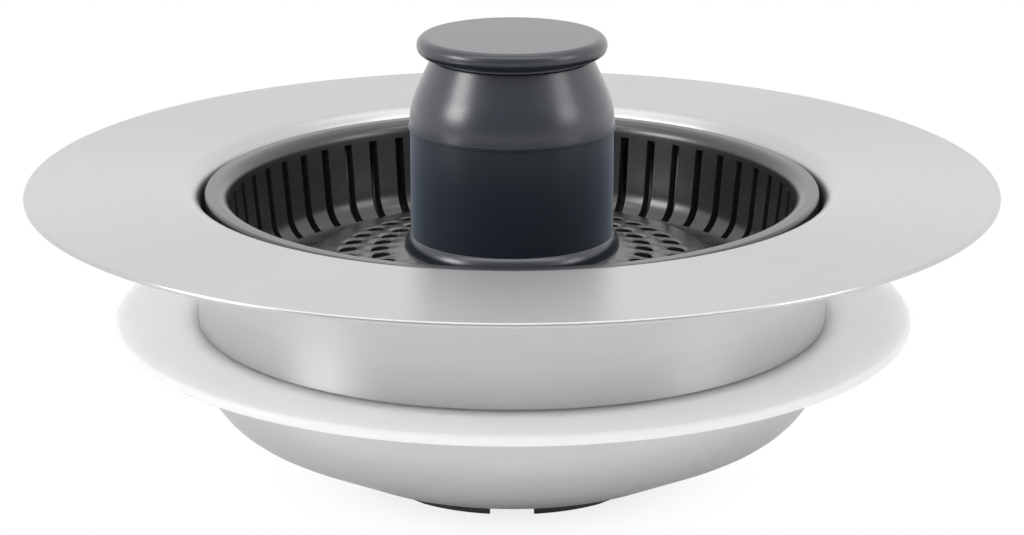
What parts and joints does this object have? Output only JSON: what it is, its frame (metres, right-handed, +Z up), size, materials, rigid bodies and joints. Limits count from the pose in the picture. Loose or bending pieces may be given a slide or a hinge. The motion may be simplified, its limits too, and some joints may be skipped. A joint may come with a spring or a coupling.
{
  "type": "sink strainer",
  "caption": "Round steel sink drain strainer with a wide flange, a soft sealing skirt, a slotted lift-out basket and a central push knob that closes the outlet.",
  "frame": {"origin": "on the axis, in the plane of the flange's underside, which rests on the sink's drain rim", "axes": "+Z up along the strainer's axis, +Y away from the viewer, +X to the right"},
  "size_m": [0.112, 0.112, 0.052],
  "materials": {
    "steel_sheet": "brushed drawn sheet",
    "white_silicone": "milky satin silicone",
    "black_plastic": "satin moulded",
    "black_rubber": "matt rubber",
    "turned_steel": "turned",
    "spring_steel": "drawn wire",
    "natural_plastic": "unpainted moulded",
    "basket_plastic": "satin moulded dark grey",
    "sleeve_plastic": "satin moulded dark blue-grey",
    "knob_plastic": "soft gloss moulded dark grey",
    "cap_plastic": "satin moulded dark grey"
  },
  "bodies": {
    "drain_body": {"flange_cup": "steel_sheet", "silicone_skirt": "white_silicone", "outlet_seat": "black_plastic", "seat_gasket": "black_rubber", "core_post": "turned_steel", "post_washer": "turned_steel", "post_screw": "turned_steel", "spring_seat": "turned_steel", "retaining_clip": "spring_steel", "return_spring": "spring_steel"},
    "plunger": {"plunger_tube": "black_plastic", "stopper_seal": "black_rubber", "cam_sleeve": "natural_plastic", "plunger_cap": "black_plastic"},
    "latch_rotor": {"latch_rotor": "natural_plastic"},
    "basket": {"strainer_basket": "basket_plastic", "grip_sleeve": "sleeve_plastic", "knob_body": "knob_plastic", "knob_cap": "cap_plastic", "knob_screw": "turned_steel"}
  },
  "joints": [
    {"name": "press", "type": "slide", "parent": "drain_body", "child": "plunger", "axis": [0, 0, -1], "range_m": [0, 0.007], "stiffness_N_per_m": 650, "springref_m": -0.005, "deforming": ["return_spring"]},
    {"name": "latch_turn", "type": "hinge", "parent": "drain_body", "child": "latch_rotor", "pos_m": [0, 0, -0.01254], "axis": [0, 0, 1], "range_deg": [0, 45]},
    {"name": "basket_lift", "type": "slide", "parent": "plunger", "child": "basket", "axis": [0, 0, 1], "range_m": [0, 0.05]}
  ],
  "couplings": [
    {"joint": "latch_turn", "follows": "press", "rad_per_m": 112.2}
  ]
}
